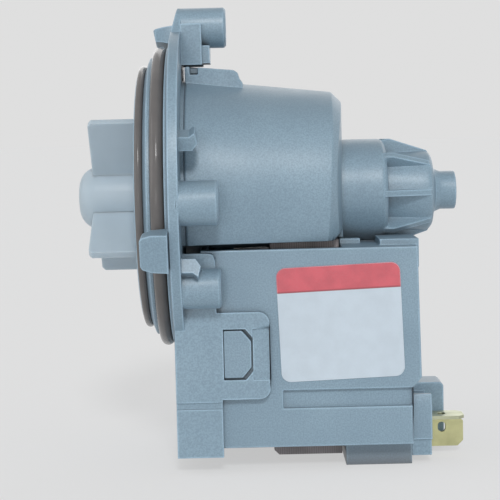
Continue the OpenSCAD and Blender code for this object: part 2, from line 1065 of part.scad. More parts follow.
module stator_hood() {
    slope = tan(hood_draft);
    rear_r = hood_r - slope * (hood_rear - hood_front);
    inner_front = hood_r - wall;
    inner_rear = rear_r - wall + slope * wall;
    color(casing_colour)
        difference() {
            union() {
                intersection() {
                    turned([
                        [0, hood_front],
                        [hood_r - 0.3, hood_front],
                        [hood_r, hood_front + 0.3],
                        [rear_r, hood_rear],
                        [0, hood_rear]
                    ]);
                    translate([0, 0, -far])
                        linear_extrude(height = 2 * far)
                            hood_bow(0);
                    hood_rim(rear_r + slope * rim_round);
                }
                hood_pad();
            }
            intersection() {
                turned([
                    [0, hood_front - 1],
                    [inner_front + slope, hood_front - 1],
                    [inner_rear, hood_rear - wall],
                    [0, hood_rear - wall]
                ]);
                translate([0, 0, -far])
                    linear_extrude(height = 2 * far)
                        hood_plan(wall);
            }
            rod(hood_rear - 5, hood_rear + 1, 2 * can_r + 2 * free_gap);
            block([hood_front - 1, -far, -far], [hood_rear + 1, far, housing_top]);
            block([hood_front - 1, -far, housing_top - 1], [hood_rear - wall, far, skirt_z]);
            both_sides() {
                block([hood_front - 1, -far, housing_top - 1], [hood_rear + 1, -hood_foot_w / 2, skirt_z]);
                skirt_corner_cut();
            }
            pad_slot();
        }
}

// Cone that bevels the hood's bowed rear edge evenly, from radius start_r at the top
module hood_rim(start_r) {
    base_x = hood_front - 1;
    tip_x = hood_rear + 1;
    cone_reach = hood_rear - rim_round + start_r - rim_lift;
    translate([base_x, 0, rim_lift])
        rotate([0, 90, 0])
            cylinder(h = tip_x - base_x, r1 = cone_reach - base_x, r2 = cone_reach - tip_x);
}

// Bowed rear face of the hood, from above, set in by inset
module hood_bow(inset) {
    translate([hood_rear - inset - hood_bow_r, 0])
        circle(r = hood_bow_r, $fn = 240);
}

// Room inside the hood, from above: the bowed rear face between two bevelled corners, set in by inset
module hood_plan(inset) {
    side = hood_r + 1;
    tip = hood_rear + 1;
    intersection() {
        hood_bow(inset);
        translate([-inset, 0])
            polygon([
                [dish_floor, -side],
                [bevel_reach - side, -side],
                [tip, tip - bevel_reach],
                [tip, bevel_reach - tip],
                [bevel_reach - side, side],
                [dish_floor, side]
            ]);
    }
}

// Bevel of the skirt's lower rear corner, beside the foot
module skirt_corner_cut() {
    corner_x = hood_rear - hood_rear_fall - skirt_corner;
    plate_xz(-far, far - hood_foot_w / 2 - 1)
        polygon([[corner_x, skirt_z - 0.1], [corner_x + 10, skirt_z - 0.1], [corner_x + 10, skirt_z + 10]]);
}

// Raised pad on top of the hood, with a round rear edge
module hood_pad() {
    round_x = pad_rear - pad_round;
    rear_z = pad_front_z - pad_fall;
    base_z = hood_r - 6;
    difference() {
        plate_xz(-pad_w / 2, pad_w)
            polygon([
                [hood_front, base_z],
                [hood_front, pad_front_z - 0.2],
                [hood_front + 0.3, pad_front_z],
                [round_x, rear_z + 0.1],
                [round_x + 0.9, rear_z - 0.5],
                [pad_rear + 0.05, rear_z - 1.9],
                [pad_rear + 0.7, hood_r - 1.3],
                [pad_rear + 0.7, base_z]
            ]);
        both_sides()
            block([hood_front + 1, -pad_w / 2 - 1, pad_front_z - 1.8],
                  [hood_front + 2.8, -pad_w / 2 + 2.2, pad_front_z + 1]);
    }
}

// Hollow under the pad
module pad_slot() {
    block([hood_front - 1, -5.3, hood_r - 4], [hood_front + 6, 5.3, pad_front_z - wall]);
}

module coil_housing() {
    low = [housing_front, -half_w, housing_floor];
    high = [housing_rear, half_w, housing_top];
    open_rear = hood_rear - wall;
    color(casing_colour) {
        difference() {
            union() {
                plate_xz(low[1], housing_w)
                    polygon([
                        [low[0], low[2]],
                        [high[0] + housing_draft, low[2]],
                        [high[0] + housing_draft, step_z],
                        [high[0], high[2]],
                        [low[0], high[2]]
                    ]);
                both_sides()
                    block([open_rear - 0.4, -hood_foot_w / 2 - 2.8, housing_top - 0.1],
                          [open_rear + 4.7, -hood_foot_w / 2 - 0.3, housing_top + 1.1]);
                block([ledge_x[0], -ledge_w / 2, housing_top - 5],
                      [ledge_x[1], ledge_w / 2, ledge_top]);
            }
            block([housing_front + wall, -inner_w / 2, housing_floor - 1],
                  [lower_rear - wall, inner_w / 2, housing_top - wall]);
            block([housing_front + wall, -inner_w / 2, housing_top - wall - 1],
                  [open_rear, inner_w / 2, housing_top + 2]);
            block([open_rear - 1, -neck_slot_w / 2, housing_top - wall - 1],
                  [housing_rear - wall, neck_slot_w / 2, ledge_top + 1]);
            can_room(free_gap);
            plate_xz(-half_w - 1, housing_w + 2)
                polygon([
                    [lower_rear, housing_floor - 1],
                    [lower_rear + step_cut, housing_floor - 1],
                    [lower_rear + step_cut, step_z + step_slope * step_cut],
                    [lower_rear, step_z]
                ]);
            both_sides()
                block([recess_x[0], -half_w - 1, recess_z[0]],
                      [recess_x[1], -half_w + recess_depth, recess_z[1]]);
        }
        both_sides()
            housing_catch();
    }
}

// Catch that the latch loop drops over
module housing_catch() {
    plate_xz(-half_w - catch_t, catch_t + 0.1)
        latch_window(catch_gap);
}

module base_cover() {
    plate_t = 1.6;
    side = inner_w / 2 - 0.1;
    color(casing_colour)
        difference() {
            union() {
                block([housing_front + wall + 0.1, -side, housing_floor],
                      [lower_rear - wall - 0.1, side, housing_floor + plate_t]);
                block([foot_x[0], -foot_w / 2, foot_floor], [foot_x[1], foot_w / 2, housing_floor]);
                block([foot_x[0], -foot_w / 2, housing_floor - 0.5],
                      [lower_rear - wall - 0.1, foot_w / 2, housing_floor + 0.5]);
            }
            block([stack_x - 0.4, -arm_out - 0.4, housing_floor - 1],
                  [stack_end + 0.4, arm_out + 0.4, housing_floor + plate_t + 1]);
            block([foot_x[0] + wall + 1, -foot_w / 2 + wall, foot_floor + wall],
                  [foot_x[1] - wall, foot_w / 2 - wall, housing_floor + plate_t + 1]);
        }
}

// Connector and terminals

module connector_block() {
    color(casing_colour)
        difference() {
            union() {
                plate_yz(lower_rear, block_rear - lower_rear)
                    polygon([
                        [block_y[0], block_floor + block_step],
                        [block_y[1], block_floor + block_step],
                        [block_y[1], block_top],
                        [block_y[0] + block_catch[1], block_top],
                        [block_y[0] + block_catch[1], guard_top],
                        [block_y[0] + block_catch[0], guard_top],
                        [block_y[0], block_top - block_bevel]
                    ]);
                block([lower_rear, block_y[0] + block_inset, block_floor],
                      [block_rear - 0.1, block_y[1], block_floor + block_step + 0.1]);
                connector_guard();
            }
            tab_slot();
        }
}

// Wall beside the terminals that stands higher than their block, with its rear top corner round
module connector_guard() {
    plate_xz(guard_y[0] - 0.1, guard_y[1] - guard_y[0] + 0.1) {
        translate([lower_rear, block_floor])
            square([guard_rear - lower_rear, guard_top - guard_round - block_floor]);
        translate([lower_rear, block_floor])
            square([guard_rear - guard_round - lower_rear, guard_top - block_floor]);
        translate([guard_rear - guard_round, guard_top - guard_round])
            circle(r = guard_round, $fn = 32);
    }
}

module tab_slot() {
    gap = 0.05;
    block([lower_rear - 1, tab_y - tab_w / 2 - gap, tab_flat_z - tab_t / 2 - gap],
          [block_rear + 1, tab_y + tab_w / 2 + gap, tab_flat_z + tab_t / 2 + gap]);
    block([lower_rear - 1, tab_y - tab_t / 2 - gap, tab_flat_z - tab_t - tab_w - gap],
          [block_rear + 1, tab_y + tab_t / 2 + gap, tab_flat_z - tab_t / 2]);
}

// Outline of a flat terminal along X, from its root to its chamfered tip, with an oval hole
module tab_outline(hole_offset, upper_chamfer) {
    c = 1.3;
    difference() {
        polygon([
            [tab_root, -tab_w / 2],
            [tab_end - c, -tab_w / 2],
            [tab_end, -tab_w / 2 + c],
            [tab_end, tab_w / 2 - upper_chamfer],
            [tab_end - upper_chamfer, tab_w / 2],
            [tab_root, tab_w / 2]
        ]);
        translate([tab_hole_x, hole_offset]) {
            square([tab_hole_d, tab_hole_slot], center = true);
            for (z = [-tab_hole_slot / 2, tab_hole_slot / 2])
                translate([0, z])
                    circle(d = tab_hole_d, $fn = 32);
        }
    }
}

module terminal_flat() {
    color(brass_colour)
        translate([0, tab_y, tab_flat_z - tab_t / 2])
            linear_extrude(height = tab_t)
                tab_outline(0, 1.3);
}

module terminal_upright() {
    color(brass_colour)
        translate([0, 0, tab_flat_z - tab_t - tab_w / 2])
            plate_xz(tab_y - tab_t / 2, tab_t)
                tab_outline(upright_hole_z, 0.5);
}

module label() {
    color(label_colour)
        translate([label_mid[0], -half_w, label_mid[1]])
            rotate([0, -label_turn, 0])
                plate_xz(-label_t, label_t)
                    round_rect(-label_size / 2, label_size / 2, label_round);
}

flange_casing();
main_ring();
front_ring();
impeller();
coupling_cover();
coupling_driver();
coupling_damper();
rotor_shaft();
rotor_magnet();
rotor_sleeve();
front_bearing();
front_bearing_seat();
rear_bearing();
rear_bearing_seat();
seal_carrier();
shaft_seal();
front_thrust_washer();
rear_thrust_washer();
stator_hood();
coil_housing();
base_cover();
lamination_stack();
bobbin_near();
bobbin_far();
winding_near();
winding_far();
thermal_cutout();
connector_block();
terminal_upright();
terminal_flat();
label();
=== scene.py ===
import math

import bpy
from mathutils import Matrix, Vector


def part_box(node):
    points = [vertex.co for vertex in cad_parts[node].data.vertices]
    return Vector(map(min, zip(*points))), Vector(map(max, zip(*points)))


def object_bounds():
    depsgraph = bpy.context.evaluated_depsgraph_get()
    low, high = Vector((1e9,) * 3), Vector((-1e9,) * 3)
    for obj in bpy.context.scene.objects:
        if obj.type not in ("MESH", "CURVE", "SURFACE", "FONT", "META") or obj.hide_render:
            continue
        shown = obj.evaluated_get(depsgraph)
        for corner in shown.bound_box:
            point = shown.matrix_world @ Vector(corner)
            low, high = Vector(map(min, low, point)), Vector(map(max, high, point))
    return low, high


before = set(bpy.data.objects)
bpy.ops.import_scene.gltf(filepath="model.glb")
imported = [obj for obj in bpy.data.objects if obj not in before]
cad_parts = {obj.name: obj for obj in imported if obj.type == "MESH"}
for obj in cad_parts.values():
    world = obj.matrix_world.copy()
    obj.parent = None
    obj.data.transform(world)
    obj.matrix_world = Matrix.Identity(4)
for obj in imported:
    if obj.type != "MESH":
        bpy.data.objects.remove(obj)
cad_low, cad_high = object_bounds()
MM = 0.001

# Camera, from the photograph's perspective; the sensor's width is in millimetres
IMAGE_SIZE = 500
FOCAL_PIXELS = 1419
SENSOR = 36
CLIP_NEAR = 0.01
CLIP_FAR = 50
CAMERA_PLACE = (17.072 * MM, -329.872 * MM, 15.870 * MM)
CAMERA_PITCH = math.radians(5)
CAMERA_ROLL = math.radians(1.35)

# Backdrop and light
BACKDROP = 0.737
FLOOR_COLOUR = 0.95
FLOOR_ROUGHNESS = 0.9
FLOOR_SIZE = 12
FLOOR_GLOW = 0.7
WORLD_LIGHT = 0.43
WORLD_TINT = (0.97, 0.985, 1.0, 1)

# Far lamps: azimuth and elevation in degrees, strength, and width in degrees
SUNS = {
    "key_light": (4, 37, 1.24, 11),
    "front_light": (-10, 1, 0.55, 14),
    "left_light": (-84, 20, 0.4, 40),
    "rear_light": (165, 15, 0.7, 60)
}

# Label, in the frame's millimetres: its middle in X and Z, its height, its tilt and its red head, the
# blur of the head's lower edge and the dark line above that edge
LABEL_MIDDLE = (36.4, -27.1)
LABEL_HEIGHT = 25
LABEL_TILT = math.radians(2)
LABEL_HEAD = 5.5
LABEL_BLUR = 0.05
LABEL_LINE = (0.1, 0.45)

# Casing plastic: its highlights
CASING_SPECULAR = 0.9
CASING_TINT = (0.62, 0.62, 0.62, 1)

# Its pale rims, partly edge wear and partly a painted highlight, how far a rim's rounded normal turns where
# it begins and where it is full, and the distance of another surface that leaves an edge without its rim
RIM_WEAR_AND_HIGHLIGHT_SHARE = 0.85
RIM_WIDTH = 0.55 * MM
RIM_TURN = (0.002, 0.03)
CORNER_REACH = 0.8 * MM

# Its painted shade in corners, pale flow streaks, dark grain, the painted shade on its top faces and the
# darkening towards the floor
CREVICE_SHADE_SHARE = 0.5
CREVICE_SHADE_REACH = 4 * MM
FLOW_SHARE = 0.35
GRAIN_SHARE = 0.52
TOP_SHADE_SHARE = 0.45
FLOOR_DARKENING_SHARE = 0.6
FLOOR_DARKENING_HEIGHT = 6 * MM

# Its spark grain and its clouds, in features to the metre
GRAIN_SCALE = 3000
CLOUD_SCALE = 42

# Impeller plastic: how much light passes through its skin, how deep, and in what colour
SCATTER_SHARE = 0.5
SCATTER_DEPTH = 1.6 * MM
SCATTER_TINT = (1.0, 0.95, 0.9)

# Wave scales for steel sheets 0.51 mm thick and for turns of wire 0.63 mm apart
SHEET_SCALE = 620
TURN_SCALE = 500

# Stretches of the noise: the first three draw streaks along X, and the last is even
FLOW = (3.0, 14.0, 14.0)
ROLLED = (1.0, 12.0, 12.0)
GROUND = (1.0, 30.0, 30.0)
SINTERED = (8.0, 8.0, 8.0)

# Roughness of each material, from its smoothest places to its roughest
ROUGHNESS = {
    "casing": (0.36, 0.45), "impeller_plastic": (0.38, 0.5), "ring_rubber": (0.15, 0.21),
    "lamination_iron": (0.45, 0.65), "winding_copper": (0.3, 0.42), "label_paper": (0.36, 0.46),
    "terminal_brass": (0.28, 0.42), "terminal_tin": (0.36, 0.5), "steel": (0.22, 0.36),
    "bush_bronze": (0.4, 0.55), "magnet_ferrite": (0.5, 0.65), "bobbin_plastic": (0.4, 0.55),
    "nylon": (0.38, 0.5)
}

# Rounding of the edges that show, in millimetres
ROUNDING = {
    "flange_casing": 0.12, "stator_hood": 0.2, "coil_housing": 0.24, "base_cover": 0.2,
    "connector_block": 0.2, "impeller": 0.22, "lamination_stack": 0.1, "label": 0.05
}
TERMINAL_ROUNDING = 0.08
ROUNDED_ANGLE = math.radians(28)
WELD_GAP = 0.002 * MM

# How far the hood's front rim is drawn to its seat, and how deep that rim is
SEAM_SHIFT = 0.085 * MM
SEAM_DEPTH = 0.02 * MM

# Colours as they look under plain light, in sRGB from 0 to 255
CASING = (128, 153, 170)
CASING_PALE = (141, 166, 182)
IMPELLER = (178, 193, 203)
RUBBER = (106, 103, 102)
LABEL_PAPER = (198, 210, 220)
LABEL_RED = (206, 96, 106)
# Dark brown of the painted shade in corners and of the darkening towards the floor
DARK_BROWN = (98, 90, 86)
BRASS = (202, 201, 154)
TIN = (190, 193, 166)
IRON = (130, 125, 126)
STEEL = (168, 170, 174)
COPPER = (158, 84, 46)
BRONZE = (150, 118, 78)
NYLON = (226, 224, 212)
BOBBIN = (124, 116, 110)


def linear(colour):
    """A colour from 0 to 255 in sRGB as linear RGBA."""
    def channel(value):
        share = value / 255
        return share / 12.92 if share <= 0.04045 else ((share + 0.055) / 1.055) ** 2.4
    return tuple(channel(value) for value in colour) + (1.0,)


def shaded(colour, factor):
    """The same colour, lighter or darker by a factor."""
    return tuple(min(255, value * factor) for value in colour)


# Camera, stage and light

def make_camera():
    forward = Vector((0, math.cos(CAMERA_PITCH), -math.sin(CAMERA_PITCH)))
    level_right = forward.cross(Vector((0, 0, 1))).normalized()
    level_up = level_right.cross(forward)
    right = level_right * math.cos(CAMERA_ROLL) - level_up * math.sin(CAMERA_ROLL)
    up = level_right * math.sin(CAMERA_ROLL) + level_up * math.cos(CAMERA_ROLL)
    data = bpy.data.cameras.new("camera")
    data.sensor_width = SENSOR
    data.lens = FOCAL_PIXELS / IMAGE_SIZE * SENSOR
    data.clip_start = CLIP_NEAR
    data.clip_end = CLIP_FAR
    camera = bpy.data.objects.new("camera", data)
    turn = Matrix((right, up, -forward)).transposed().to_4x4()
    camera.matrix_world = Matrix.Translation(CAMERA_PLACE) @ turn
    bpy.context.scene.collection.objects.link(camera)
    bpy.context.scene.camera = camera


def backdrop_material():
    """Pale floor that keeps a soft shadow; the camera and mirrors see it part lit, part plain backdrop."""
    material = bpy.data.materials.new("backdrop")
    material.use_nodes = True
    tree = material.node_tree
    bsdf = tree.nodes["Principled BSDF"]
    bsdf.inputs["Base Color"].default_value = (FLOOR_COLOUR, FLOOR_COLOUR, FLOOR_COLOUR, 1)
    bsdf.inputs["Roughness"].default_value = FLOOR_ROUGHNESS
    bsdf.inputs["Specular IOR Level"].default_value = 0.0
    glow = tree.nodes.new("ShaderNodeEmission")
    glow.inputs["Color"].default_value = (BACKDROP, BACKDROP, BACKDROP, 1)
    share = tree.nodes.new("ShaderNodeMath")
    share.operation = "MULTIPLY"
    share.inputs[1].default_value = FLOOR_GLOW
    mix = tree.nodes.new("ShaderNodeMixShader")
    tree.links.new(seen_directly(tree), share.inputs[0])
    tree.links.new(share.outputs[0], mix.inputs["Fac"])
    tree.links.new(bsdf.outputs[0], mix.inputs[1])
    tree.links.new(glow.outputs[0], mix.inputs[2])
    tree.links.new(mix.outputs[0], tree.nodes["Material Output"].inputs["Surface"])
    return material


def seen_directly(tree):
    """1 for rays from the camera, from mirrors and through glass, and 0 for the light on the object."""
    path = tree.nodes.new("ShaderNodeLightPath")
    seen = tree.nodes.new("ShaderNodeMath")
    seen.operation = "MAXIMUM"
    through = tree.nodes.new("ShaderNodeMath")
    through.operation = "MAXIMUM"
    tree.links.new(path.outputs["Is Camera Ray"], seen.inputs[0])
    tree.links.new(path.outputs["Is Glossy Ray"], seen.inputs[1])
    tree.links.new(seen.outputs[0], through.inputs[0])
    tree.links.new(path.outputs["Is Transmission Ray"], through.inputs[1])
    return through.outputs[0]


def make_stage():
    mesh = bpy.data.meshes.new("floor")
    half = FLOOR_SIZE / 2
    low = cad_low.z
    mesh.from_pydata([(-half, -half, low), (half, -half, low), (half, half, low), (-half, half, low)], [],
                     [(0, 1, 2, 3)])
    mesh.materials.append(backdrop_material())
    floor = bpy.data.objects.new("floor", mesh)
    bpy.context.scene.collection.objects.link(floor)


def make_world():
    world = bpy.data.worlds.new("studio")
    world.use_nodes = True
    bpy.context.scene.world = world
    tree = world.node_tree
    tree.nodes.clear()
    light = tree.nodes.new("ShaderNodeBackground")
    light.inputs["Color"].default_value = WORLD_TINT
    light.inputs["Strength"].default_value = WORLD_LIGHT
    shown = tree.nodes.new("ShaderNodeBackground")
    shown.inputs["Color"].default_value = (BACKDROP, BACKDROP, BACKDROP, 1)
    shown.inputs["Strength"].default_value = 1.0
    mix = tree.nodes.new("ShaderNodeMixShader")
    out = tree.nodes.new("ShaderNodeOutputWorld")
    link = tree.links.new
    link(seen_directly(tree), mix.inputs["Fac"])
    link(light.outputs[0], mix.inputs[1])
    link(shown.outputs[0], mix.inputs[2])
    link(mix.outputs[0], out.inputs["Surface"])


def make_sun(name, azimuth, elevation, strength, angle):
    """A soft far lamp. Azimuth 0 shines from the camera's side, and negative ones from the left."""
    data = bpy.data.lights.new(name, "SUN")
    data.energy = strength
    data.angle = math.radians(angle)
    lamp = bpy.data.objects.new(name, data)
    around = math.radians(azimuth)
    above = math.radians(elevation)
    level = math.cos(above)
    source = Vector((math.sin(around) * level, -math.cos(around) * level, math.sin(above)))
    lamp.rotation_mode = "QUATERNION"
    lamp.rotation_quaternion = source.to_track_quat("Z", "Y")
    bpy.context.scene.collection.objects.link(lamp)


def make_lights():
    make_world()
    for name, settings in SUNS.items():
        make_sun(name, *settings)


# Material nodes

class Look:
    """A node material in the making, with its nodes reached by short names."""

    def __init__(self, name, metallic=0.0, specular=0.5):
        self.material = bpy.data.materials.new(name)
        self.material.use_nodes = True
        self.tree = self.material.node_tree
        self.bsdf = self.tree.nodes["Principled BSDF"]
        self.bsdf.inputs["Metallic"].default_value = metallic
        self.bsdf.inputs["Specular IOR Level"].default_value = specular
        self.place = self.node("ShaderNodeTexCoord").outputs["Object"]

    def node(self, kind, **settings):
        made = self.tree.nodes.new(kind)
        for key, value in settings.items():
            setattr(made, key, value)
        return made

    def link(self, source, target):
        self.tree.links.new(source, target)

    def noise(self, scale, detail=3.0, stretch=None):
        """Noise from the frame's own coordinates; scale counts features to the metre."""
        made = self.node("ShaderNodeTexNoise")
        made.inputs["Scale"].default_value = scale
        made.inputs["Detail"].default_value = detail
        if stretch is None:
            self.link(self.place, made.inputs["Vector"])
        else:
            mapping = self.node("ShaderNodeMapping")
            mapping.inputs["Scale"].default_value = stretch
            self.link(self.place, mapping.inputs["Vector"])
            self.link(mapping.outputs[0], made.inputs["Vector"])
        return made.outputs["Fac"]

    def spread(self, value, low, high, start=0.3, end=0.7):
        """Maps a value from start..end to low..high."""
        made = self.node("ShaderNodeMapRange")
        made.inputs["From Min"].default_value = start
        made.inputs["From Max"].default_value = end
        made.inputs["To Min"].default_value = low
        made.inputs["To Max"].default_value = high
        self.link(value, made.inputs["Value"])
        return made.outputs["Result"]

    def product(self, first, second):
        """The product of two sockets."""
        made = self.node("ShaderNodeMath", operation="MULTIPLY")
        self.link(first, made.inputs[0])
        self.link(second, made.inputs[1])
        return made.outputs[0]

    def ramp(self, value, dark, pale, start=0.3, end=0.7):
        """Colours a value from one sRGB colour at start to another at end."""
        made = self.node("ShaderNodeValToRGB")
        made.color_ramp.elements[0].position = start
        made.color_ramp.elements[0].color = linear(dark)
        made.color_ramp.elements[1].position = end
        made.color_ramp.elements[1].color = linear(pale)
        self.link(value, made.inputs["Fac"])
        return made.outputs["Color"]

    def mix(self, share, first, second):
        """Mixes two colours by a share's socket; each colour is a socket or an sRGB colour."""
        made = self.node("ShaderNodeMix", data_type="RGBA")
        self.link(share, made.inputs[0])
        for socket, colour in ((made.inputs[6], first), (made.inputs[7], second)):
            if isinstance(colour, tuple):
                socket.default_value = linear(colour)
            else:
                self.link(colour, socket)
        return made.outputs[2]

    def edges(self, radius, start=0.004, end=0.05):
        """1 on the sharp edges of the piece and 0 on its faces."""
        bevel = self.node("ShaderNodeBevel", samples=6)
        bevel.inputs["Radius"].default_value = radius
        geometry = self.node("ShaderNodeNewGeometry")
        dot = self.node("ShaderNodeVectorMath", operation="DOT_PRODUCT")
        self.link(bevel.outputs[0], dot.inputs[0])
        self.link(geometry.outputs["Normal"], dot.inputs[1])
        return self.spread(dot.outputs["Value"], 1.0, 0.0, 1 - end, 1 - start)

    def crevices(self, distance):
        """1 in the open and less where a surface is close by."""
        made = self.node("ShaderNodeAmbientOcclusion", samples=8)
        made.inputs["Distance"].default_value = distance
        return made.outputs["AO"]

    def upward(self):
        """1 on faces that look straight up, 0 on upright ones and -1 below."""
        geometry = self.node("ShaderNodeNewGeometry")
        split = self.node("ShaderNodeSeparateXYZ")
        self.link(geometry.outputs["Normal"], split.inputs[0])
        return split.outputs["Z"]

    def colour(self, socket):
        self.link(socket, self.bsdf.inputs["Base Color"])

    def rough(self, value, name):
        """Spreads a noise over the named material's roughness."""
        self.link(self.spread(value, *ROUGHNESS[name]), self.bsdf.inputs["Roughness"])

    def bump(self, *layers):
        """Stacks bumps; each layer is a height socket, its depth in metres and its strength."""
        normal = None
        for height, depth, strength in layers:
            made = self.node("ShaderNodeBump")
            made.inputs["Distance"].default_value = depth
            made.inputs["Strength"].default_value = strength
            self.link(height, made.inputs["Height"])
            if normal is not None:
                self.link(normal, made.inputs["Normal"])
            normal = made.outputs["Normal"]
        self.link(normal, self.bsdf.inputs["Normal"])


def casing_look(name, dark, pale, rim=RIM_WEAR_AND_HIGHLIGHT_SHARE, floor_darkening=0.0):
    """Moulded glass-filled plastic with cloudy colour and spark grain.

    Its edges are paler, partly by wear and partly by a painted highlight. Its top faces and its corners
    are darker by painted shade, and if asked it is darker towards the floor.
    """
    look = Look(name, specular=CASING_SPECULAR)
    look.bsdf.inputs["Specular Tint"].default_value = CASING_TINT
    cloud = look.noise(CLOUD_SCALE, 4.0)
    flow = look.noise(9, 3.0, FLOW)
    grain = look.noise(GRAIN_SCALE, 2.0)
    body = look.ramp(cloud, dark, pale, 0.32, 0.68)
    body = look.mix(look.spread(flow, 0.0, FLOW_SHARE), body, shaded(pale, 1.05))
    body = look.mix(look.spread(grain, 0.0, GRAIN_SHARE, 0.36, 0.64), body, shaded(dark, 0.86))
    # Pale rims on the edges: partly wear, partly a painted highlight
    edge_wear_and_highlight = patchy_wear_and_highlight(look, look.edges(RIM_WIDTH, *RIM_TURN), rim)
    open_share = look.spread(look.crevices(CORNER_REACH), 0.0, 1.0, 0.7, 0.9)
    body = look.mix(look.product(edge_wear_and_highlight, open_share), body, shaded(pale, 1.22))
    # Painted shade: faces that look up are darkened
    film = look.spread(look.upward(), 0.0, TOP_SHADE_SHARE, 0.55, 0.97)
    body = look.mix(film, body, shaded(dark, 0.78))
    # Painted shade in corners and wherever surfaces close in
    crevice_shade = look.spread(look.crevices(CREVICE_SHADE_REACH), CREVICE_SHADE_SHARE, 0.0, 0.1, 0.7)
    body = look.mix(crevice_shade, body, DARK_BROWN)
    # Darker towards the floor
    if floor_darkening > 0:
        height = look.node("ShaderNodeSeparateXYZ")
        look.link(look.place, height.inputs[0])
        low = look.spread(height.outputs["Z"], floor_darkening, 0.0, cad_low.z, cad_low.z + FLOOR_DARKENING_HEIGHT)
        body = look.mix(low, body, DARK_BROWN)
    look.colour(body)
    look.rough(look.noise(110, 3.0), "casing")
    look.bump((look.noise(260, 3.0), 0.05 * MM, 0.2), (grain, 0.05 * MM, 0.5))
    return look.material


def patchy_wear_and_highlight(look, edge_wear_and_highlight, most):
    """Breaks an edge mask up, so that wear, and on the casing a painted highlight, comes and goes along an
    edge.
    """
    patch = look.spread(look.noise(180, 3.0), most / 2, most, 0.35, 0.65)
    return look.product(edge_wear_and_highlight, patch)


def impeller_look():
    """Milky polypropylene, slightly see-through at its thin edges."""
    look = Look("impeller_plastic", specular=0.45)
    cloud = look.noise(60, 3.0)
    body = look.ramp(cloud, shaded(IMPELLER, 0.97), shaded(IMPELLER, 1.04))
    # Painted shade in the impeller's corners
    crevice_shade = look.spread(look.crevices(CREVICE_SHADE_REACH), 0.3, 0.0, 0.2, 0.8)
    look.colour(look.mix(crevice_shade, body, shaded(IMPELLER, 0.8)))
    look.bsdf.inputs["Subsurface Weight"].default_value = SCATTER_SHARE
    look.bsdf.inputs["Subsurface Radius"].default_value = SCATTER_TINT
    look.bsdf.inputs["Subsurface Scale"].default_value = SCATTER_DEPTH
    look.rough(look.noise(240, 3.0), "impeller_plastic")
    look.bump((look.noise(900, 2.0), 0.02 * MM, 0.3))
    return look.material


def rubber_look():
    """Moulded nitrile rubber, satin, with pale bloom in places."""
    look = Look("ring_rubber", specular=0.3)
    bloom = look.noise(130, 4.0)
    look.colour(look.ramp(bloom, shaded(RUBBER, 0.95), shaded(RUBBER, 1.06), 0.35, 0.75))
    look.rough(look.noise(320, 3.0), "ring_rubber")
    look.bump((look.noise(1400, 2.0), 0.01 * MM, 0.2))
    return look.material


def metal_look(name, colour, stretch):
    """Stained metal with worn edges, whose roughness follows stretched noise."""
    look = Look(name, metallic=1.0)
    stain = look.noise(150, 4.0)
    body = look.ramp(stain, shaded(colour, 0.86), shaded(colour, 1.06))
    look.colour(look.mix(patchy_wear_and_highlight(look, look.edges(0.15 * MM), 0.5), body, shaded(colour, 1.2)))
    brushed = look.noise(30, 4.0, stretch)
    look.rough(brushed, name)
    look.bump((brushed, 0.01 * MM, 0.3))
    return look.material


def iron_look():
    """Stacked steel sheets, seen as fine layers along the axis, with dull oxide."""
    look = Look("lamination_iron", metallic=0.25)
    stain = look.noise(120, 4.0)
    layers = look.node("ShaderNodeTexWave", wave_type="BANDS", bands_direction="X")
    layers.inputs["Scale"].default_value = SHEET_SCALE
    look.link(look.place, layers.inputs["Vector"])
    body = look.ramp(stain, shaded(IRON, 0.75), shaded(IRON, 1.2))
    sheet = look.spread(layers.outputs["Fac"], 0.5, 1.0, 0.0, 0.35)
    look.colour(look.mix(sheet, shaded(IRON, 0.6), body))
    look.rough(stain, "lamination_iron")
    look.bump((layers.outputs["Fac"], 0.03 * MM, 0.3))
    return look.material


def soft_look(name, colour):
    """Plain dull material of an inner piece."""
    look = Look(name)
    look.colour(look.ramp(look.noise(70, 3.0), shaded(colour, 0.92), shaded(colour, 1.05)))
    look.rough(look.noise(200, 3.0), name)
    look.bump((look.noise(1000, 2.0), 0.02 * MM, 0.3))
    return look.material


def copper_look():
    """Turns of enamelled wire, as bands across the coil."""
    look = Look("winding_copper", metallic=0.85)
    turns = look.node("ShaderNodeTexWave", wave_type="BANDS", bands_direction="Z")
    turns.inputs["Scale"].default_value = TURN_SCALE
    look.link(look.place, turns.inputs["Vector"])
    look.colour(look.ramp(turns.outputs["Fac"], shaded(COPPER, 0.55), shaded(COPPER, 1.15), 0.1, 0.8))
    look.rough(look.noise(200, 3.0), "winding_copper")
    look.bump((turns.outputs["Fac"], 0.1 * MM, 0.6))
    return look.material


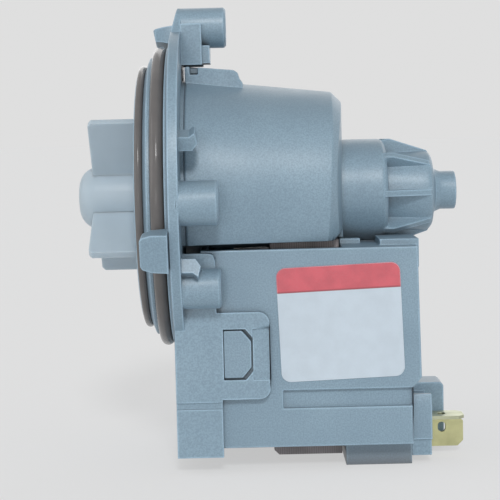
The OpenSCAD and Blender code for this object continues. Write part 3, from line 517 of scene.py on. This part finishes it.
def label_look():
    """Printed film label: a red head over a pale body, faint fibre and mottle, and a worn edge."""
    look = Look("label_paper", specular=0.35)
    mottle = look.noise(300, 5.0)
    fibre = look.noise(1900, 3.0, (1.0, 1.0, 2.2))
    pale = look.ramp(mottle, shaded(LABEL_PAPER, 0.985), shaded(LABEL_PAPER, 1.012), 0.35, 0.65)
    red = look.ramp(mottle, shaded(LABEL_RED, 0.96), shaded(LABEL_RED, 1.03), 0.35, 0.65)
    rise = look.node("ShaderNodeVectorMath", operation="DOT_PRODUCT")
    rise.inputs[1].default_value = (-math.sin(LABEL_TILT), 0, math.cos(LABEL_TILT))
    look.link(look.place, rise.inputs[0])
    middle = -LABEL_MIDDLE[0] * math.sin(LABEL_TILT) + LABEL_MIDDLE[1] * math.cos(LABEL_TILT)
    edge = (middle + LABEL_HEIGHT / 2 - LABEL_HEAD) * MM
    head = look.spread(rise.outputs["Value"], 0.0, 1.0, edge - LABEL_BLUR * MM, edge + LABEL_BLUR * MM)
    rim = look.spread(rise.outputs["Value"], 0.0, 1.0, edge + LABEL_LINE[1] * MM, edge + LABEL_LINE[0] * MM)
    body = look.mix(head, pale, look.mix(rim, red, shaded(LABEL_RED, 0.72)))
    body = look.mix(look.spread(fibre, 0.0, 0.06), body, shaded(LABEL_PAPER, 0.85))
    wear = patchy_wear_and_highlight(look, look.edges(0.3 * MM), 0.45)
    look.colour(look.mix(wear, body, shaded(LABEL_PAPER, 1.1)))
    look.rough(mottle, "label_paper")
    look.bump((fibre, 0.006 * MM, 0.25), (look.noise(40, 2.0), 0.05 * MM, 0.15))
    return look.material


# Dressing of the CAD nodes

def dress(material, *nodes):
    for name in nodes:
        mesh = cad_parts[name].data
        mesh.materials.clear()
        mesh.materials.append(material)


def modifier_group(name, kind):
    """A modifier's node group that sends the geometry through one node, and that node."""
    group = bpy.data.node_groups.new(name, "GeometryNodeTree")
    for way in ("INPUT", "OUTPUT"):
        group.interface.new_socket("Geometry", in_out=way, socket_type="NodeSocketGeometry")
    source = group.nodes.new("NodeGroupInput")
    step = group.nodes.new(kind)
    out = group.nodes.new("NodeGroupOutput")
    group.links.new(source.outputs[0], step.inputs["Geometry"])
    group.links.new(step.outputs["Geometry"], out.inputs[0])
    return group, step


def close_seam(name, plane, shift):
    """Draws a node's front rim, all points in front of a plane across X, a little nearer to its seat."""
    group, move = modifier_group("seam", "GeometryNodeSetPosition")
    place = group.nodes.new("GeometryNodeInputPosition")
    split = group.nodes.new("ShaderNodeSeparateXYZ")
    front = group.nodes.new("FunctionNodeCompare")
    front.data_type = "FLOAT"
    front.operation = "LESS_THAN"
    front.inputs[1].default_value = plane
    move.inputs["Offset"].default_value = (-shift, 0, 0)
    group.links.new(place.outputs[0], split.inputs[0])
    group.links.new(split.outputs["X"], front.inputs[0])
    group.links.new(front.outputs[0], move.inputs["Selection"])
    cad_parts[name].modifiers.new("seam", "NODES").node_group = group


def soften(name, width, segments, group=None):
    """Rounds a CAD node's sharp edges by modifiers, which leave its own mesh as it is.

    With a node group that shades it smooth, its normals are also weighted by the size of the faces.
    """
    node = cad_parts[name]
    weld = node.modifiers.new("weld", "WELD")
    weld.merge_threshold = WELD_GAP
    bevel = node.modifiers.new("round", "BEVEL")
    bevel.width = width
    bevel.segments = segments
    bevel.limit_method = "ANGLE"
    bevel.angle_limit = ROUNDED_ANGLE
    bevel.use_clamp_overlap = False
    if group is None:
        return
    smooth = node.modifiers.new("smooth", "NODES")
    smooth.node_group = group
    normals = node.modifiers.new("normals", "WEIGHTED_NORMAL")
    normals.mode = "FACE_AREA"
    normals.weight = 50
    normals.keep_sharp = False


def dress_nodes():
    casing = casing_look("casing_plastic", CASING, CASING_PALE)
    cover = casing_look("cover_plastic", shaded(CASING, 0.99), shaded(CASING_PALE, 0.99))
    # The hood's pale rims, wear and painted highlight, are fainter
    hood = casing_look("hood_plastic", shaded(CASING, 0.99), shaded(CASING_PALE, 0.99), rim=0.3)
    # The base is a little darker, and darker still towards the floor
    base = casing_look("base_plastic", shaded(CASING, 0.96), shaded(CASING_PALE, 0.96), floor_darkening=FLOOR_DARKENING_SHARE)
    iron = iron_look()
    brass = metal_look("terminal_brass", BRASS, ROLLED)
    tin = metal_look("terminal_tin", TIN, ROLLED)
    steel = metal_look("steel", STEEL, GROUND)
    bronze = metal_look("bush_bronze", BRONZE, SINTERED)
    bobbin = soft_look("bobbin_plastic", BOBBIN)
    nylon = soft_look("nylon", NYLON)
    rubber = rubber_look()
    dress(casing, "flange_casing", "seal_carrier")
    dress(cover, "coil_housing", "connector_block")
    dress(hood, "stator_hood")
    dress(base, "base_cover")
    dress(rubber, "main_ring", "front_ring", "shaft_seal", "front_bearing_seat", "rear_bearing_seat",
          "coupling_damper")
    dress(impeller_look(), "impeller", "coupling_cover")
    dress(nylon, "coupling_driver", "rotor_sleeve", "thermal_cutout")
    dress(steel, "rotor_shaft", "front_thrust_washer", "rear_thrust_washer")
    dress(bronze, "front_bearing", "rear_bearing")
    dress(iron, "lamination_stack")
    dress(soft_look("magnet_ferrite", IRON), "rotor_magnet")
    dress(bobbin, "bobbin_near", "bobbin_far")
    dress(copper_look(), "winding_near", "winding_far")
    dress(tin, "terminal_flat")
    dress(brass, "terminal_upright")
    dress(label_look(), "label")


def soften_nodes():
    close_seam("stator_hood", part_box("stator_hood")[0].x + SEAM_DEPTH, SEAM_SHIFT)
    group = modifier_group("shade_smooth", "GeometryNodeSetShadeSmooth")[0]
    for name, width in ROUNDING.items():
        soften(name, width * MM, 2, group)
    for name in ("terminal_flat", "terminal_upright"):
        soften(name, TERMINAL_ROUNDING * MM, 1)


def main():
    make_camera()
    make_stage()
    make_lights()
    bpy.context.scene.view_settings.view_transform = "Standard"
    dress_nodes()
    soften_nodes()


main()
bpy.context.view_layer.update()
